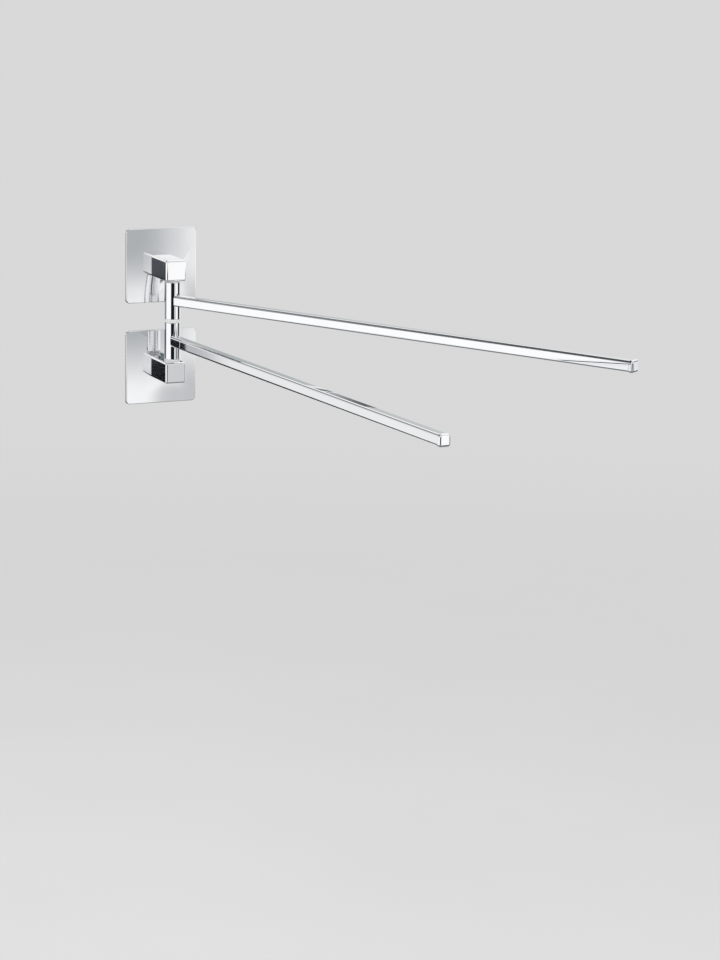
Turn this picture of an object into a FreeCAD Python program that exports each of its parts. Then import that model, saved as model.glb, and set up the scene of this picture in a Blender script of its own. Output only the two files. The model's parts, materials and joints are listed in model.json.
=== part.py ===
import FreeCAD, Part
import math
import os

# Towel holder with two swivel arms, in millimetres.
# The wall is the plane Y = 0, the arms stand out towards -Y, +X is to the right and +Z is up.
# The origin is the centre of the upper pad's wall side.

# Wall plates
plate_size = 60.0
plate_thickness = 2.5
plate_corner_radius = 3.0
plate_edge_radius = 0.6
plate_pitch = 82.5

# Adhesive pads, each let into the back of its plate
pad_rim = 3.0
pad_recess_depth = 0.4
pad_stand_off = 0.8
pad_side_gap = 0.2

# Square posts
post_size = 17.0
post_length = 33.5
post_edge_radius = 1.5

# Countersunk screws that hold each post on its plate
post_screw_diameter = 4.0
post_screw_reach = 11.0
post_screw_spacing = 9.0
post_screw_head_diameter = 7.6
post_screw_head_land = 0.2
post_screw_socket_width = 2.5
post_screw_socket_depth = 1.2
post_screw_hole_spare = 1.5
screw_clearance = 0.05

# Axle and the screw that holds its foot
axle_diameter = 7.0
axle_upper_socket_depth = 12.0
axle_lower_socket_depth = 8.5
axle_top_gap = 0.2
axle_end_chamfer = 0.5
axle_seat_clearance = 0.03
axle_screw_diameter = 4.0
axle_screw_reach = 8.0
axle_screw_hole_spare = 1.5
axle_screw_head_diameter = 7.0
axle_screw_head_height = 4.0
axle_screw_head_chamfer = 0.4
axle_screw_socket_width = 3.0
axle_screw_socket_depth = 2.0
axle_screw_head_clearance = 0.3
axle_screw_web = 3.5

# Swivel column: two sleeves on flanged bushes, with a washer under the lower one
sleeve_diameter = 13.0
sleeve_chamfer = 0.4
sleeve_relief = 0.3
bush_wall = 1.2
bush_length = 8.0
bush_end_gap = 0.5
bush_running_clearance = 0.05
bush_seat_clearance = 0.05
flange_thickness = 1.1
flange_setback = 0.1
flange_chamfer = 0.2
washer_thickness = 0.6
washer_clearance = 0.2
thrust_gap = 0.15

# Arms
arm_reach = 438.0
tube_size = 8.5
tube_wall = 1.0
tube_edge_radius = 1.75
tube_inner_radius = 0.75
cope_gap = 0.1
spigot_length = 16.0
spigot_clearance = 0.1
spigot_edge_radius = 0.8
spigot_chamfer = 0.6

# End caps
cap_head_length = 3.4
cap_overhang = 0.5
cap_edge_radius = 2.2
cap_end_radius = 1.7
cap_back_radius = 0.3
cap_seam_gap = 0.3
cap_plug_length = 14.0
cap_plug_clearance = 0.2
cap_plug_wall = 1.2
cap_plug_edge_radius = 0.8
cap_plug_chamfer = 0.6
cap_core_radius = 0.3
cap_rib_width = 0.9
cap_rib_height = 0.15

# Angles of the arms at rest, from the wall's +X direction, in degrees
upper_arm_angle = -62.0
lower_arm_angle = -86.0

# One overrun for every cut, and how near two edges' places or directions count as the same
overrun = 1.0
same_place_share = 0.001
same_direction_share = 0.999

# Places that follow from the sizes
plate_back_y = -pad_stand_off
plate_front_y = plate_back_y - plate_thickness
post_front_y = plate_front_y - post_length
axle_y = post_front_y + post_size / 2
post_half = post_size / 2
lower_z = -plate_pitch
column_top_z = -post_half
column_foot_z = lower_z + post_half
sleeve_bore_diameter = axle_diameter + 2 * (bush_running_clearance + bush_wall + bush_seat_clearance)
flange_diameter = sleeve_diameter - 2 * flange_setback
stack_thickness = 4 * flange_thickness + washer_thickness + 3 * thrust_gap
sleeve_length = (column_top_z - column_foot_z - stack_thickness) / 2
upper_sleeve_z = column_top_z - thrust_gap - flange_thickness - sleeve_length / 2
lower_sleeve_z = column_foot_z + washer_thickness + thrust_gap + flange_thickness + sleeve_length / 2
tube_bore = tube_size - 2 * tube_wall
tube_end_x = arm_reach - cap_head_length - cap_seam_gap

ORIGIN = FreeCAD.Vector(0, 0, 0)
X_AXIS = FreeCAD.Vector(1, 0, 0)
Y_AXIS = FreeCAD.Vector(0, 1, 0)
Z_AXIS = FreeCAD.Vector(0, 0, 1)


def box(low, high):
    """A block between two opposite corners."""
    size = high - low
    return Part.makeBox(size.x, size.y, size.z, low)


def rod(diameter, start, end):
    """A cylinder between two points."""
    return Part.makeCylinder(diameter / 2, (end - start).Length, start, end - start)


def tapered_rod(start_diameter, end_diameter, start, end):
    """A cone frustum between two points."""
    along = end - start
    return Part.makeCone(start_diameter / 2, end_diameter / 2, along.Length, start, along)


def hexagon_bar(width, start, end):
    """A six-sided bar between two points, width across its flats."""
    along = end - start
    corner_radius = width / math.sqrt(3)
    points = []
    for step in range(6):
        turn = math.radians(360 / 6 * step)
        points.append(FreeCAD.Vector(corner_radius * math.cos(turn), corner_radius * math.sin(turn), 0))
    face = Part.Face(Part.makePolygon(points + points[:1]))
    bar = face.extrude(Z_AXIS * along.Length)
    bar.Placement = FreeCAD.Placement(start, FreeCAD.Rotation(Z_AXIS, along))
    return bar


def edges_along(shape, direction):
    """The straight edges that run along a direction."""
    found = []
    for edge in shape.Edges:
        if isinstance(edge.Curve, Part.Line) and abs(edge.Curve.Direction.dot(direction)) > same_direction_share:
            found.append(edge)
    return found


def edges_at(shape, axis, place):
    """The edges that lie whole in the plane at a place along an axis."""
    near = overrun * same_place_share
    found = []
    for edge in shape.Edges:
        low = getattr(edge.BoundBox, axis + "Min")
        high = getattr(edge.BoundBox, axis + "Max")
        if abs(low - place) < near and abs(high - place) < near:
            found.append(edge)
    return found


def square_bar(width, corner_radius, start_x, end_x):
    """A square bar along X with rounded long edges, centred on the X axis."""
    half = width / 2
    bar = box(FreeCAD.Vector(start_x, -half, -half), FreeCAD.Vector(end_x, half, half))
    return bar.makeFillet(corner_radius, edges_along(bar, X_AXIS))


def rounded_slab(width, corner_radius, front_y, back_y, centre_z):
    """A square slab parallel to the wall with rounded corners."""
    half = width / 2
    low = FreeCAD.Vector(-half, front_y, centre_z - half)
    slab = box(low, FreeCAD.Vector(half, back_y, centre_z + half))
    return slab.makeFillet(corner_radius, edges_along(slab, Y_AXIS))


def screw_heights(centre_z):
    """The heights of a post's two screws."""
    return (centre_z - post_screw_spacing / 2, centre_z + post_screw_spacing / 2)


def head_seat_y():
    """Where the outside of a countersunk head lies: at the floor of the plate's recess."""
    return plate_back_y - pad_recess_depth


def countersunk_screw(height):
    """One countersunk screw along -Y with a hexagon socket."""
    head_y = head_seat_y()
    land_y = head_y - post_screw_head_land
    cone_y = land_y - (post_screw_head_diameter - post_screw_diameter) / 2
    tip_y = plate_front_y - post_screw_reach
    land = rod(post_screw_head_diameter, FreeCAD.Vector(0, head_y, height), FreeCAD.Vector(0, land_y, height))
    cone_start = FreeCAD.Vector(0, land_y, height)
    cone_end = FreeCAD.Vector(0, cone_y, height)
    cone = tapered_rod(post_screw_head_diameter, post_screw_diameter, cone_start, cone_end)
    shank = rod(post_screw_diameter, cone_end, FreeCAD.Vector(0, tip_y, height))
    socket_start = FreeCAD.Vector(0, head_y + overrun, height)
    socket_end = FreeCAD.Vector(0, head_y - post_screw_socket_depth, height)
    socket = hexagon_bar(post_screw_socket_width, socket_start, socket_end)
    return land.fuse([cone, shank]).removeSplitter().cut(socket)


def post_screws(centre_z):
    """The two screws that hold a post."""
    return Part.makeCompound([countersunk_screw(height) for height in screw_heights(centre_z)])


def plate(centre_z):
    """A wall plate: rounded front edge, pad recess behind, countersunk screw holes."""
    body = rounded_slab(plate_size, plate_corner_radius, plate_front_y, plate_back_y, centre_z)
    body = body.makeFillet(plate_edge_radius, edges_at(body, "Y", plate_front_y))
    recess_size = plate_size - 2 * pad_rim
    recess_radius = plate_corner_radius - pad_rim / 2
    recess = rounded_slab(recess_size, recess_radius, head_seat_y(), plate_back_y + overrun, centre_z)
    body = body.cut(recess)
    for height in screw_heights(centre_z):
        mouth_y = head_seat_y()
        hole_diameter = post_screw_diameter + 2 * screw_clearance
        seat_diameter = post_screw_head_diameter + 2 * screw_clearance
        land_y = mouth_y - post_screw_head_land
        cone_y = land_y - (seat_diameter - hole_diameter) / 2
        hole_start = FreeCAD.Vector(0, mouth_y + overrun, height)
        body = body.cut(rod(hole_diameter, hole_start, FreeCAD.Vector(0, plate_front_y - overrun, height)))
        body = body.cut(rod(seat_diameter, hole_start, FreeCAD.Vector(0, land_y, height)))
        cone_start = FreeCAD.Vector(0, land_y, height)
        body = body.cut(tapered_rod(seat_diameter, hole_diameter, cone_start, FreeCAD.Vector(0, cone_y, height)))
    return body


def adhesive_pad(centre_z):
    """The pad between a plate and the wall."""
    pad_size = plate_size - 2 * (pad_rim + pad_side_gap)
    pad_radius = plate_corner_radius - pad_rim / 2 - pad_side_gap
    return rounded_slab(pad_size, pad_radius, head_seat_y(), 0, centre_z)


def post_blank(centre_z):
    """A square post with every edge but the rear ones rounded, and its two screw holes."""
    low = FreeCAD.Vector(-post_half, post_front_y, centre_z - post_half)
    body = box(low, FreeCAD.Vector(post_half, plate_front_y, centre_z + post_half))
    rounded = edges_along(body, Y_AXIS) + edges_at(body, "Y", post_front_y)
    body = body.makeFillet(post_edge_radius, rounded)
    hole_diameter = post_screw_diameter + 2 * screw_clearance
    hole_end_y = plate_front_y - post_screw_reach - post_screw_hole_spare
    for height in screw_heights(centre_z):
        hole_start = FreeCAD.Vector(0, plate_front_y + overrun, height)
        body = body.cut(rod(hole_diameter, hole_start, FreeCAD.Vector(0, hole_end_y, height)))
    return body


def on_axle(height):
    """A point of the column's axis."""
    return FreeCAD.Vector(0, axle_y, height)


def upper_post():
    """The upper post, with a blind socket for the axle's head."""
    socket_diameter = axle_diameter + 2 * axle_seat_clearance
    socket_start = on_axle(column_top_z - overrun)
    socket = rod(socket_diameter, socket_start, on_axle(column_top_z + axle_upper_socket_depth))
    return post_blank(0).cut(socket)


def lower_post():
    """The lower post: a socket for the axle's foot, a screw hole and a counterbore underneath."""
    socket_floor_z = column_foot_z - axle_lower_socket_depth
    seat_z = socket_floor_z - axle_screw_web
    below_z = lower_z - post_half - overrun
    socket_diameter = axle_diameter + 2 * axle_seat_clearance
    hole_diameter = axle_screw_diameter + 2 * axle_screw_head_clearance
    bore_diameter = axle_screw_head_diameter + 2 * axle_screw_head_clearance
    body = post_blank(lower_z)
    body = body.cut(rod(socket_diameter, on_axle(socket_floor_z), on_axle(column_foot_z + overrun)))
    body = body.cut(rod(hole_diameter, on_axle(seat_z), on_axle(socket_floor_z)))
    return body.cut(rod(bore_diameter, on_axle(below_z), on_axle(seat_z)))


def axle():
    """The steel rod that both sleeves turn on, tapped at its foot."""
    top_z = column_top_z + axle_upper_socket_depth - axle_top_gap
    foot_z = column_foot_z - axle_lower_socket_depth
    body = rod(axle_diameter, on_axle(foot_z), on_axle(top_z))
    ends = edges_at(body, "Z", foot_z) + edges_at(body, "Z", top_z)
    body = body.makeChamfer(axle_end_chamfer, ends)
    hole_diameter = axle_screw_diameter + 2 * screw_clearance
    hole_top_z = foot_z + axle_screw_reach + axle_screw_hole_spare
    return body.cut(rod(hole_diameter, on_axle(foot_z - overrun), on_axle(hole_top_z)))


def axle_screw():
    """The cap screw from underneath the lower post."""
    foot_z = column_foot_z - axle_lower_socket_depth
    seat_z = foot_z - axle_screw_web
    head_z = seat_z - axle_screw_head_height
    head = rod(axle_screw_head_diameter, on_axle(head_z), on_axle(seat_z))
    head = head.makeChamfer(axle_screw_head_chamfer, edges_at(head, "Z", head_z))
    shank = rod(axle_screw_diameter, on_axle(seat_z), on_axle(foot_z + axle_screw_reach))
    socket_top = on_axle(head_z + axle_screw_socket_depth)
    socket = hexagon_bar(axle_screw_socket_width, on_axle(head_z - overrun), socket_top)
    return head.fuse(shank).removeSplitter().cut(socket)


def thrust_washer():
    """The plain washer on the lower post, under the lower sleeve's flange."""
    top_z = column_foot_z + washer_thickness
    body = rod(flange_diameter, on_axle(column_foot_z), on_axle(top_z))
    hole_diameter = axle_diameter + 2 * washer_clearance
    return body.cut(rod(hole_diameter, on_axle(column_foot_z - overrun), on_axle(top_z + overrun)))


def bush(sleeve_face_z, outwards):
    """A flanged bush let into one end of a sleeve. outwards is 1 at a top end and -1 at a bottom end."""
    flange_end_z = sleeve_face_z + outwards * flange_thickness
    inner_end_z = sleeve_face_z - outwards * bush_length
    body_diameter = sleeve_bore_diameter - 2 * bush_seat_clearance
    bore_diameter = axle_diameter + 2 * bush_running_clearance
    flange = rod(flange_diameter, on_axle(sleeve_face_z), on_axle(flange_end_z))
    flange = flange.makeChamfer(flange_chamfer, edges_at(flange, "Z", flange_end_z))
    body = rod(body_diameter, on_axle(inner_end_z), on_axle(sleeve_face_z))
    bore_start = on_axle(flange_end_z + outwards * overrun)
    bore = rod(bore_diameter, bore_start, on_axle(inner_end_z - outwards * overrun))
    return flange.fuse(body).removeSplitter().cut(bore)


def sleeve(centre_z, angle):
    """A column sleeve with its bush bores, and the square spigot that carries the arm."""
    low_z = centre_z - sleeve_length / 2
    high_z = centre_z + sleeve_length / 2
    body = rod(sleeve_diameter, on_axle(low_z), on_axle(high_z))
    ends = edges_at(body, "Z", low_z) + edges_at(body, "Z", high_z)
    body = body.makeChamfer(sleeve_chamfer, ends)
    spigot_size = tube_bore - 2 * spigot_clearance
    spigot_end_x = sleeve_diameter / 2 + spigot_length
    spigot = square_bar(spigot_size, spigot_edge_radius, 0, spigot_end_x)
    spigot = spigot.makeChamfer(spigot_chamfer, edges_at(spigot, "X", spigot_end_x))
    body = body.fuse(on_arm(spigot, centre_z, angle)).removeSplitter()
    relief_diameter = axle_diameter + 2 * sleeve_relief
    body = body.cut(rod(relief_diameter, on_axle(low_z - overrun), on_axle(high_z + overrun)))
    bore_depth = bush_length + bush_end_gap
    lower_bore = rod(sleeve_bore_diameter, on_axle(low_z - overrun), on_axle(low_z + bore_depth))
    upper_bore = rod(sleeve_bore_diameter, on_axle(high_z - bore_depth), on_axle(high_z + overrun))
    return body.cut([lower_bore, upper_bore])


def on_arm(shape, centre_z, angle):
    """Takes a shape made along +X from the origin to its place on an arm."""
    placed = shape.copy()
    placed.rotate(ORIGIN, Z_AXIS, angle)
    placed.translate(on_axle(centre_z))
    return placed


def arm_tube(centre_z, angle):
    """The square tube of an arm, its root coped to the round sleeve."""
    outer = square_bar(tube_size, tube_edge_radius, 0, tube_end_x)
    inner = square_bar(tube_bore, tube_inner_radius, -overrun, tube_end_x + overrun)
    cope_diameter = sleeve_diameter + 2 * cope_gap
    cope_low = FreeCAD.Vector(0, 0, -tube_size)
    cope = rod(cope_diameter, cope_low, FreeCAD.Vector(0, 0, tube_size))
    body = outer.cut([inner, cope])
    return on_arm(body, centre_z, angle)


def cap_ribs(start_x, end_x, half):
    """The four crush ribs of a cap's plug, one on each side."""
    low = FreeCAD.Vector(start_x, -cap_rib_width / 2, 0)
    rib = box(low, FreeCAD.Vector(end_x, cap_rib_width / 2, half + cap_rib_height))
    ribs = []
    for step in range(4):
        turned = rib.copy()
        turned.rotate(ORIGIN, X_AXIS, 90 * step)
        ribs.append(turned)
    return ribs


def end_cap(centre_z, angle):
    """An end cap: a rounded head over the tube's end and a hollow ribbed plug inside the tube."""
    head_x = arm_reach - cap_head_length
    head = square_bar(tube_size + 2 * cap_overhang, cap_edge_radius, head_x, arm_reach)
    head = head.makeFillet(cap_end_radius, edges_at(head, "X", arm_reach))
    head = head.makeFillet(cap_back_radius, edges_at(head, "X", head_x))
    plug_size = tube_bore - 2 * cap_plug_clearance
    plug_start_x = head_x - cap_plug_length
    plug = square_bar(plug_size, cap_plug_edge_radius, plug_start_x, head_x)
    ribs = cap_ribs(plug_start_x + cap_plug_chamfer, head_x, plug_size / 2)
    plug = plug.makeChamfer(cap_plug_chamfer, edges_at(plug, "X", plug_start_x)).fuse(ribs)
    core_size = plug_size - 2 * cap_plug_wall
    core = square_bar(core_size, cap_core_radius, plug_start_x - overrun, head_x)
    body = head.fuse(plug).removeSplitter().cut(core)
    return on_arm(body, centre_z, angle)


def build():
    """Every node's name and solid."""
    nodes = {}
    nodes["upper_plate"] = plate(0)
    nodes["lower_plate"] = plate(lower_z)
    nodes["upper_adhesive_pad"] = adhesive_pad(0)
    nodes["lower_adhesive_pad"] = adhesive_pad(lower_z)
    nodes["upper_post"] = upper_post()
    nodes["lower_post"] = lower_post()
    nodes["upper_post_screws"] = post_screws(0)
    nodes["lower_post_screws"] = post_screws(lower_z)
    nodes["axle"] = axle()
    nodes["axle_screw"] = axle_screw()
    nodes["thrust_washer"] = thrust_washer()
    arms = (("upper", upper_sleeve_z, upper_arm_angle), ("lower", lower_sleeve_z, lower_arm_angle))
    for name, centre_z, angle in arms:
        nodes[name + "_sleeve"] = sleeve(centre_z, angle)
        nodes[name + "_sleeve_top_bush"] = bush(centre_z + sleeve_length / 2, 1)
        nodes[name + "_sleeve_bottom_bush"] = bush(centre_z - sleeve_length / 2, -1)
        nodes[name + "_arm_tube"] = arm_tube(centre_z, angle)
        nodes[name + "_end_cap"] = end_cap(centre_z, angle)
    return nodes


os.makedirs("parts", exist_ok=True)
for node, shape in build().items():
    shape.exportStep("parts/" + node + ".step")
    solids = len(shape.Solids)
    print(node, "solids", solids, "valid", shape.isValid(), "volume", round(shape.Volume, 3))
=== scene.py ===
import json
import math

import bpy
from mathutils import Matrix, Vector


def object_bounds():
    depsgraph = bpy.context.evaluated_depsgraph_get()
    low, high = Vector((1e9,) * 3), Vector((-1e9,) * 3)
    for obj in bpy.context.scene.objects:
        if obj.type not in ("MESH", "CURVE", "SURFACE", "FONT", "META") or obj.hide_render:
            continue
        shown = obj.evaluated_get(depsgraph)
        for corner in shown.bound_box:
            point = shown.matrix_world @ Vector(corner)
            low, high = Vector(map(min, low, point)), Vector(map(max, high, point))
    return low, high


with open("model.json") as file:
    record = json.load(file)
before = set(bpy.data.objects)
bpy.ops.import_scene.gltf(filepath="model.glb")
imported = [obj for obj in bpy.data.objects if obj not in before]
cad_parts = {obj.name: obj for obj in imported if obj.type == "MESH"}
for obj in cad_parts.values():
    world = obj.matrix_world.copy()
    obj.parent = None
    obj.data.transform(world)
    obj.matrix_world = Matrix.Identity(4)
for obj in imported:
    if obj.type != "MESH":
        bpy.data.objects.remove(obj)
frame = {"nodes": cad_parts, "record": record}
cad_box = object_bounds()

# Camera: the photograph's view, fitted to the edges of plates, posts and arms, in metres and degrees
camera_place = (-0.8524, -2.2509, 0.3483)
camera_yaw = 24.66
camera_pitch = -12.29
camera_roll = 1.03
camera_reach = 100.0

# The camera's lens and the width of its sensor, in millimetres
camera_lens = 112.5
camera_sensor = 36.0

# Floor: far below the wall part, it fades out between two distances from its middle, in metres
floor_radius = 14.0
floor_drop = 0.9
floor_clear_radius = 1.0
floor_gone_radius = 4.5

# Corners of the floor's round outline, and the scale of its clouds in features a metre
floor_corners = 128
floor_cloud_scale = 3

# Crown of a pressed plate: how far its face leans to the left, to the right and up, as slopes
crown_left = 0.075
crown_right = 0.035
crown_up = 0.050

# Where the leans to the left and the right start and end, as shares of the plate's width
crown_left_span = (0.15, 0.80)
crown_right_span = (0.70, 1.00)

# Share of these two leans at the plate's foot, and the shares of its height over which it grows to all
crown_foot_share = 0.40
crown_foot_span = (0.10, 0.45)

# Most noise values lie between these two
noise_low = 0.3
noise_high = 0.7

# Tone of the dark clouds, as a share of the pale ones
chrome_cloud_share = 0.97
floor_cloud_share = 0.98

# Tones of the surroundings, where 1 is white
backdrop_tone = 0.69
floor_tone = 0.70
fill_tone = 0.78

# Soft lamps: name, place and width in metres, power in watts
lamps = (
    ("key_lamp", (-1.4, -1.9, 1.9), 1.6, 34.0),
    ("right_lamp", (2.2, -1.2, 1.2), 1.4, 14.0),
    ("back_lamp", (-0.6, 2.2, 1.6), 1.6, 18.0),
)

# Tones of the studio that polished metal mirrors
studio_white = (1.10, 1.10, 1.10)
black = (0.010, 0.012, 0.014)
slate = (0.078, 0.084, 0.097)
teal = (0.035, 0.075, 0.080)

# Cards in the studio, each over those before it, with their angles in degrees from the front and from level
cards = (
    # Azimuth to the right, half width, elevation, half height, soft edge across, soft edge up and down, tone
    # Behind the part, level and above
    (180, 70, 0, 12, 12, 8, (0.80, 0.81, 0.82)),
    (180, 78, 16, 6, 3, 4, (0.66, 0.67, 0.68)),
    (166, 12, 14, 6, 5, 2, (0.44, 0.47, 0.47)),
    # To the left and behind, from high up down to level
    (-125, 45, 41, 29, 8, 2, (0.25, 0.26, 0.27)),
    (-120, 60, 71, 20, 8, 1.5, black),
    (-85, 16, 30, 19.4, 1.5, 0.4, black),
    (-90, 17, 38, 12, 1.5, 1, black),
    (-94, 8, 1, 6.5, 1.5, 1, (0.20, 0.21, 0.22)),
    # To the right
    (85, 13, 28, 30, 4, 3, (0.38, 0.39, 0.40)),
    # In front and a little to the right, from high up down to the floor
    (27, 14, 45, 20, 4, 3, (0.45, 0.46, 0.47)),
    (2, 19, 0, 7.25, 12, 3.75, (0.46, 0.475, 0.49)),
    (24.4, 6, -34.6, 25.5, 1.4, 0.3, (0.62, 0.625, 0.635)),
    (27, 5, -14.4, 7.2, 0.4, 2.0, (0.60, 0.605, 0.62)),
    # Behind the part, from just below level down to the floor
    (-156.1, 5.9, -34.2, 26, 0.4, 0.3, (0.52, 0.53, 0.55)),
    (-162, 5, -8, 4.5, 0.5, 0.5, (0.40, 0.41, 0.42)),
    (-173, 22.23, -36.1, 24.4, 0.03, 0.3, black),
    (-153.9, 3.13, -10.2, 2.0, 0.03, 0.3, black),
    # In front to the left, from level down to the floor
    (-15.3, 25.2, -34.35, 26, 0.7, 0.1, black),
    (-32.5, 7.5, -32, 29, 0.7, 0.6, black),
    (-29.5, 4.5, -4.9, 1.95, 0.7, 0.2, slate),
    (-41, 7, -5.4, 1.9, 0.5, 0.2, black),
    # A narrow strip to the left and behind, just below level
    (-129, 10, -9.75, 1.15, 2, 0.1, (0.03, 0.035, 0.04)),
    # To the right, from just below level down to the floor
    (44, 8, -34.2, 24.7, 1, 0.3, teal),
    (81.2, 19.2, -34.35, 26, 0.6, 0.1, black),
    (86, 3, -10.0, 0.7, 0.5, 0.2, (0.86, 0.87, 0.88)),
    # Narrow strips in front and to the right, just above level
    (16, 9, 14.8, 2.0, 3, 0.3, teal),
    (17, 3.5, 6.5, 1.0, 1, 0.4, teal),
    (4, 12, 9.6, 1.2, 2, 0.5, black),
    (66, 37, 13.6, 1.6, 3, 0.5, teal),
    # High in front, and to both sides of the front
    (-16, 25, 38.5, 11.5, 1.5, 1.0, black),
    (-77, 10, 8, 11, 2, 2, black),
    (53, 8, 8, 11, 2, 2, black),
    # The dark ground, all round
    (0, 180, -75, 45, 1, 6, (0.22, 0.23, 0.24)),
)


def add(tree, kind, inputs=None, **settings):
    """Adds a node. Each input is a value, or the output that feeds it."""
    node = tree.nodes.new(kind)
    for name, value in settings.items():
        setattr(node, name, value)
    for name, value in (inputs or {}).items():
        if isinstance(value, bpy.types.NodeSocket):
            tree.links.new(value, node.inputs[name])
        else:
            node.inputs[name].default_value = value
    return node


def math_node(tree, operation, *values):
    """A math node's result."""
    return add(tree, "ShaderNodeMath", dict(enumerate(values)), operation=operation).outputs["Value"]


def vector_node(tree, operation, *values):
    """A vector math node."""
    return add(tree, "ShaderNodeVectorMath", dict(enumerate(values)), operation=operation)


def ramped(tree, value, ends, results, shape="SMOOTHSTEP"):
    """A value that goes from the first result to the second between two ends, smoothly or in a line."""
    inputs = {
        "Value": value,
        "From Min": ends[0],
        "From Max": ends[1],
        "To Min": results[0],
        "To Max": results[1],
    }
    return add(tree, "ShaderNodeMapRange", inputs, interpolation_type=shape).outputs["Result"]


def mixed(tree, share, first, second):
    """Two colours mixed by a share. Each is a colour or the output that gives it."""
    node = add(tree, "ShaderNodeMix", {"Factor": share}, data_type="RGBA")
    colour_inputs = [socket for socket in node.inputs if socket.type == "RGBA"]
    for socket, colour in zip(colour_inputs, (first, second)):
        if isinstance(colour, bpy.types.NodeSocket):
            tree.links.new(colour, socket)
        else:
            socket.default_value = (*colour, 1)
    return next(socket for socket in node.outputs if socket.type == "RGBA")


def noise(tree, scale, detail=2.0, stretch=(1, 1, 1)):
    """Noise in the part's own coordinates: scale is in features a metre."""
    place = add(tree, "ShaderNodeTexCoord").outputs["Object"]
    mapped = add(tree, "ShaderNodeMapping", {"Vector": place, "Scale": stretch}).outputs["Vector"]
    inputs = {"Vector": mapped, "Scale": scale, "Detail": detail}
    return add(tree, "ShaderNodeTexNoise", inputs).outputs["Fac"]


def spread(tree, value, low, high):
    """Maps a noise value to low and high."""
    return ramped(tree, value, (noise_low, noise_high), (low, high), "LINEAR")


def tinted(tree, value, dark, pale):
    """A colour between two by a noise value."""
    ramp = add(tree, "ShaderNodeValToRGB", {"Fac": value})
    for element, place, colour in zip(ramp.color_ramp.elements, (noise_low, noise_high), (dark, pale)):
        element.position = place
        element.color = (*colour, 1)
    return ramp.outputs["Color"]


def bumped(tree, height, depth):
    """A normal tilted by a height, with its depth in metres."""
    return add(tree, "ShaderNodeBump", {"Height": height, "Distance": depth}).outputs["Normal"]


def new_material(name):
    """An empty node material, its tree and its output."""
    material = bpy.data.materials.new(name)
    material.use_nodes = True
    tree = material.node_tree
    tree.nodes.clear()
    return material, tree, add(tree, "ShaderNodeOutputMaterial")


def surface(name, colour, roughness, metallic, relief):
    """A principled material from functions that make its colour, roughness and normal."""
    material, tree, output = new_material(name)
    inputs = {
        "Base Color": colour(tree),
        "Roughness": roughness(tree),
        "Metallic": metallic,
        "Normal": relief(tree),
    }
    shader = add(tree, "ShaderNodeBsdfPrincipled", inputs)
    tree.links.new(shader.outputs["BSDF"], output.inputs["Surface"])
    return material


def crowned(tree):
    """The normal of a pressed plate's face: its sides lean out, less at its foot, and its top leans up."""
    place = add(tree, "ShaderNodeTexCoord").outputs["Generated"]
    axes = add(tree, "ShaderNodeSeparateXYZ", {"Vector": place}).outputs
    left = ramped(tree, axes["X"], crown_left_span, (-crown_left, 0))
    right = ramped(tree, axes["X"], crown_right_span, (0, crown_right))
    share = ramped(tree, axes["Z"], crown_foot_span, (crown_foot_share, 1))
    across = math_node(tree, "MULTIPLY", math_node(tree, "ADD", left, right), share)
    up = math_node(tree, "MULTIPLY", axes["Z"], crown_up)
    lean = add(tree, "ShaderNodeCombineXYZ", {"X": across, "Z": up}).outputs["Vector"]
    plain = add(tree, "ShaderNodeNewGeometry").outputs["Normal"]
    leaning = vector_node(tree, "ADD", plain, lean).outputs["Vector"]
    return vector_node(tree, "NORMALIZE", leaning).outputs["Vector"]


def chrome(name, pale, roughness, relief):
    """Polished chrome plating with a faint cloudiness."""
    dark = tuple(chrome_cloud_share * channel for channel in pale)
    return surface(
        name,
        colour=lambda tree: tinted(tree, noise(tree, scale=40), dark, pale),
        roughness=lambda tree: spread(tree, noise(tree, scale=120), *roughness),
        metallic=1.0,
        relief=relief,
    )


def plate_chrome():
    """Chrome on a pressed plate, a little hazier than on the bars."""
    return chrome("plate_chrome", (0.86, 0.87, 0.88), roughness=(0.06, 0.08), relief=crowned)


def bar_chrome(name, pale, waves, depth):
    """Chrome on a bar, over the slow waves of the metal: how many of them fit in a metre, and how deep."""
    return chrome(
        name,
        pale,
        roughness=(0.005, 0.015),
        relief=lambda tree: bumped(tree, noise(tree, scale=waves, detail=0.0), depth),
    )


def brushed_steel():
    """Zinc-plated steel with fine level marks, as turning leaves them round the axle."""
    dark = (0.50, 0.51, 0.53)
    pale = (0.64, 0.65, 0.66)
    marks = (1, 1, 12)
    return surface(
        "fastener_steel",
        colour=lambda tree: tinted(tree, noise(tree, scale=300), dark, pale),
        roughness=lambda tree: spread(tree, noise(tree, scale=500), low=0.22, high=0.38),
        metallic=1.0,
        relief=lambda tree: bumped(tree, noise(tree, scale=400, stretch=marks), depth=0.00002),
    )


def pale_plastic():
    """Moulded plastic of the bushes: even, with a fine matt grain."""
    dark = (0.77, 0.77, 0.765)
    pale = (0.83, 0.83, 0.825)
    return surface(
        "bush_plastic",
        colour=lambda tree: tinted(tree, noise(tree, scale=200), dark, pale),
        roughness=lambda tree: spread(tree, noise(tree, scale=900), low=0.32, high=0.45),
        metallic=0.0,
        relief=lambda tree: bumped(tree, noise(tree, scale=2500), depth=0.00001),
    )


def pad_foam():
    """Closed-cell foam of the adhesive pads: pale and matt, with small cells."""
    dark = (0.72, 0.72, 0.70)
    pale = (0.84, 0.84, 0.82)
    return surface(
        "pad_foam",
        colour=lambda tree: tinted(tree, noise(tree, scale=700, detail=4.0), dark, pale),
        roughness=lambda tree: spread(tree, noise(tree, scale=400), low=0.75, high=0.95),
        metallic=0.0,
        relief=lambda tree: bumped(tree, noise(tree, scale=1400, detail=3.0), depth=0.0002),
    )


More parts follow.
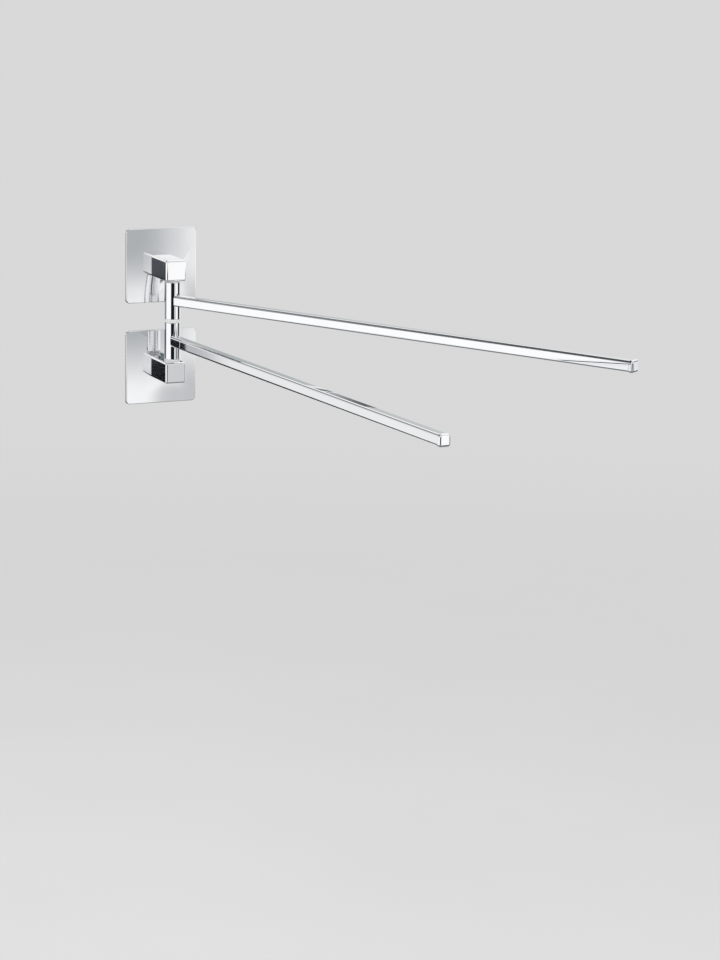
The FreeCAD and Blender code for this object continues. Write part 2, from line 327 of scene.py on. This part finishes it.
def dress():
    """Gives every CAD node the finish of its slot in the record."""
    finishes = {
        "plate_chrome": plate_chrome(),
        "post_chrome": bar_chrome("post_chrome", (0.97, 0.97, 0.97), waves=30, depth=0.00005),
        "column_chrome": bar_chrome("column_chrome", (0.88, 0.89, 0.90), waves=30, depth=0.00004),
        "arm_chrome": bar_chrome("arm_chrome", (0.89, 0.90, 0.91), waves=12, depth=0.00003),
        "cap_chrome": bar_chrome("cap_chrome", (0.88, 0.89, 0.90), waves=40, depth=0.0001),
        "fastener_steel": brushed_steel(),
        "bush_plastic": pale_plastic(),
        "pad_foam": pad_foam(),
    }
    for row in frame["record"]["subparts"]:
        mesh = frame["nodes"][row["node"]].data
        mesh.materials.clear()
        mesh.materials.append(finishes[row["material_slot"]])


def floor_material():
    """Pale and matt, and clear where the floor fades out."""
    material, tree, output = new_material("floor")
    place = add(tree, "ShaderNodeTexCoord").outputs["Object"]
    distance = vector_node(tree, "LENGTH", place).outputs["Value"]
    gone = ramped(tree, distance, (floor_clear_radius, floor_gone_radius), (0, 1))
    dark = (floor_cloud_share * floor_tone,) * 3
    pale = (floor_tone,) * 3
    colour = tinted(tree, noise(tree, floor_cloud_scale), dark, pale)
    matt = add(tree, "ShaderNodeBsdfDiffuse", {"Color": colour}).outputs["BSDF"]
    clear = add(tree, "ShaderNodeBsdfTransparent").outputs["BSDF"]
    blend = add(tree, "ShaderNodeMixShader", {0: gone, 1: matt, 2: clear})
    tree.links.new(blend.outputs["Shader"], output.inputs["Surface"])
    return material


def plain_floor():
    """A round pale floor that fades into the backdrop. Metal mirrors the studio instead of it."""
    bpy.ops.mesh.primitive_circle_add(vertices=floor_corners, radius=floor_radius, fill_type="NGON")
    floor = bpy.context.object
    floor.name = "floor"
    floor.location.z = cad_box[0].z - floor_drop
    floor.visible_glossy = False
    floor.data.materials.append(floor_material())


def near(tree, angle, centre, half, soft):
    """1 within half a width of a centre angle, and 0 past a soft edge."""
    away = math_node(tree, "WRAP", math_node(tree, "SUBTRACT", angle, centre), 180, -180)
    return ramped(tree, math_node(tree, "ABSOLUTE", away), (half - soft, half + soft), (1, 0))


def mirrored_studio(tree):
    """The white studio with its cards, by direction."""
    direction = add(tree, "ShaderNodeTexCoord").outputs["Generated"]
    axes = add(tree, "ShaderNodeSeparateXYZ", {"Vector": direction}).outputs
    forward = math_node(tree, "MULTIPLY", axes["Y"], -1)
    azimuth = math_node(tree, "DEGREES", math_node(tree, "ARCTAN2", axes["X"], forward))
    elevation = math_node(tree, "DEGREES", math_node(tree, "ARCSINE", axes["Z"]))
    colour = studio_white
    for turn, half_width, rise, half_height, soft_across, soft_up, tone in cards:
        across = near(tree, azimuth, turn, half_width, soft_across)
        up = near(tree, elevation, rise, half_height, soft_up)
        colour = mixed(tree, math_node(tree, "MULTIPLY", across, up), colour, tone)
    return colour


def studio():
    """The surroundings: plain to the camera and to matt surfaces, and with cards for polished metal."""
    world = bpy.data.worlds.new("studio")
    world.use_nodes = True
    tree = world.node_tree
    tree.nodes.clear()
    ray = add(tree, "ShaderNodeLightPath").outputs
    seen = mixed(tree, ray["Is Glossy Ray"], (fill_tone,) * 3, mirrored_studio(tree))
    seen = mixed(tree, ray["Is Camera Ray"], seen, (backdrop_tone,) * 3)
    sky = add(tree, "ShaderNodeBackground", {"Color": seen, "Strength": 1.0})
    output = add(tree, "ShaderNodeOutputWorld")
    tree.links.new(sky.outputs["Background"], output.inputs["Surface"])
    bpy.context.scene.world = world


def soft_lamps():
    """Large soft lamps that shade the matt pieces and the floor. Metal doesn't mirror them."""
    centre = (cad_box[0] + cad_box[1]) / 2
    for name, place, width, power in lamps:
        light = bpy.data.lights.new(name, "AREA")
        light.shape = "DISK"
        light.size = width
        light.energy = power
        lamp = bpy.data.objects.new(name, light)
        lamp.location = place
        lamp.rotation_mode = "QUATERNION"
        lamp.rotation_quaternion = (centre - lamp.location).to_track_quat("-Z", "Y")
        lamp.visible_glossy = False
        lamp.visible_camera = False
        bpy.context.collection.objects.link(lamp)


def photograph_camera():
    """The camera at the photograph's place and angle."""
    data = bpy.data.cameras.new("camera")
    data.lens = camera_lens
    data.sensor_width = camera_sensor
    data.clip_end = camera_reach
    camera = bpy.data.objects.new("camera", data)
    bpy.context.collection.objects.link(camera)
    turned = Matrix.Rotation(math.radians(-camera_yaw), 4, "Z")
    tipped = Matrix.Rotation(math.radians(90 + camera_pitch), 4, "X")
    rolled = Matrix.Rotation(math.radians(camera_roll), 4, "Z")
    camera.matrix_world = Matrix.Translation(camera_place) @ turned @ tipped @ rolled
    bpy.context.scene.camera = camera


dress()
plain_floor()
studio()
soft_lamps()
photograph_camera()
bpy.context.scene.view_settings.view_transform = "Standard"
